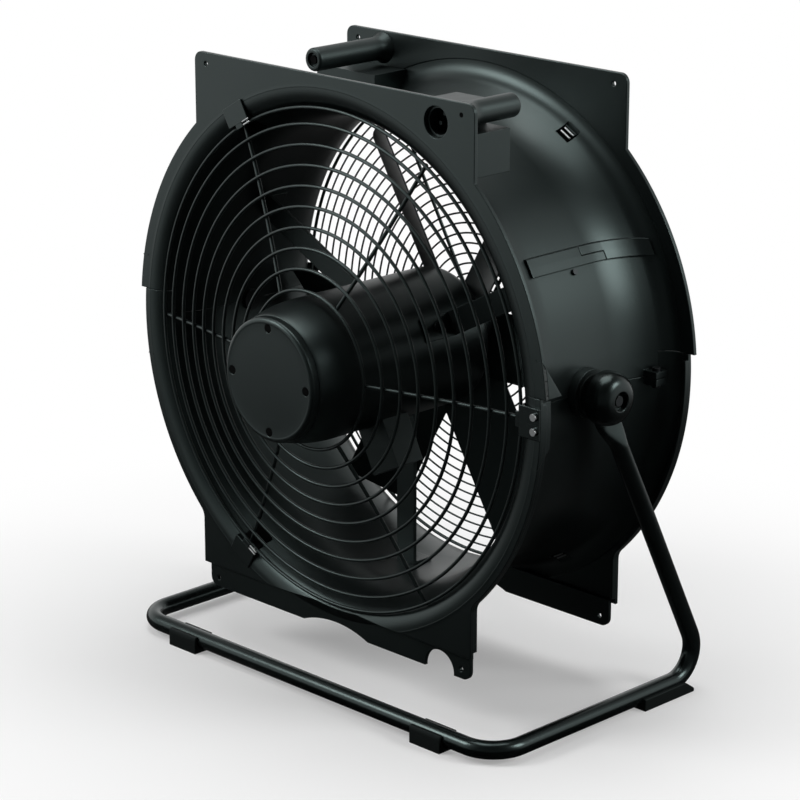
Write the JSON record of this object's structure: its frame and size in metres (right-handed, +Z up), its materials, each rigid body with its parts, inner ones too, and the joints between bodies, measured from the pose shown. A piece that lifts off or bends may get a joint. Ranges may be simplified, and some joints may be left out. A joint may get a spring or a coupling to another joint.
{
  "type": "drum fan",
  "caption": "Black drum fan on a bent tube stand: a round two-part housing with square corner plates, wire guards front and rear, and a head that tilts between two clamp knobs",
  "frame": {"origin": "Centre of the bounding box at the floor.", "axes": "X runs right, Y runs back and Z runs up as the fan is seen from the front; the fan axis is along Y and the tilt axis along X."},
  "size_m": [0.5658, 0.3412, 0.6176],
  "materials": {
    "black_powder_coat": "satin near-black powder coat",
    "tube_powder_coat": "glossy near-black powder coat",
    "grey_powder_coat": "dark grey coated wire",
    "black_plastic": "matte near-black moulding",
    "grey_blade_metal": "dark grey coated sheet",
    "zinc_steel": "zinc plated",
    "black_rubber": "matte rubber"
  },
  "bodies": {
    "stand": {"stand_frame": "tube_powder_coat", "front_foot_right": "black_rubber", "front_foot_left": "black_rubber", "rear_foot_right": "black_rubber", "rear_foot_left": "black_rubber"},
    "head": {"upper_shell": "black_powder_coat", "lower_shell": "black_powder_coat", "strap_front_right": "black_powder_coat", "strap_front_left": "black_powder_coat", "strap_rear_right": "black_powder_coat", "strap_rear_left": "black_powder_coat", "motor_body": "black_powder_coat", "motor_strut_right": "black_powder_coat", "motor_strut_left": "black_powder_coat", "motor_strut_bottom": "black_powder_coat", "motor_cap": "black_powder_coat", "front_guard": "grey_powder_coat", "rear_guard": "grey_powder_coat", "cord_post_front": "black_plastic", "cord_post_rear": "black_plastic", "wiring_box": "black_plastic", "capacitor_box": "black_plastic", "power_inlet": "black_plastic", "pivot_boss_right": "black_plastic", "pivot_boss_left": "black_plastic", "motor_wiring_box": "black_plastic", "front_guard_clips": "black_plastic", "rear_guard_clips": "black_plastic", "seam_bolts": "zinc_steel", "post_screws": "zinc_steel", "latch_screws": "zinc_steel", "cap_screws": "zinc_steel", "strut_drum_bolts": "zinc_steel", "strut_motor_bolts": "zinc_steel", "stud_screws": "zinc_steel", "pivot_stud_right": "zinc_steel", "pivot_stud_left": "zinc_steel", "guard_latch": "zinc_steel", "bearing_front": "zinc_steel", "bearing_rear": "zinc_steel", "friction_washer_right": "black_rubber", "friction_washer_left": "black_rubber"},
    "rotor": {"motor_shaft": "zinc_steel", "impeller_hub": "black_plastic", "hub_nut": "zinc_steel", "blade_1": "grey_blade_metal", "blade_2": "grey_blade_metal", "blade_3": "grey_blade_metal", "blade_4": "grey_blade_metal", "blade_5": "grey_blade_metal", "blade_6": "grey_blade_metal"},
    "right_knob": {"knob_right": "black_plastic"},
    "left_knob": {"knob_left": "black_plastic"}
  },
  "joints": [
    {"name": "tilt", "type": "hinge", "parent": "stand", "child": "head", "pos_m": [0, 0.01686, 0.3352], "axis": [1, 0, 0], "range_deg": [-7, 58]},
    {"name": "fan", "type": "hinge", "parent": "head", "child": "rotor", "pos_m": [0, 0.07686, 0.3352], "axis": [0, 1, 0], "continuous": true},
    {"name": "right_knob_turn", "type": "hinge", "parent": "stand", "child": "right_knob", "pos_m": [0.27, 0.01686, 0.3352], "axis": [1, 0, 0], "range_deg": [-180, 180]},
    {"name": "left_knob_turn", "type": "hinge", "parent": "stand", "child": "left_knob", "pos_m": [-0.27, 0.01686, 0.3352], "axis": [-1, 0, 0], "range_deg": [-180, 180]}
  ]
}
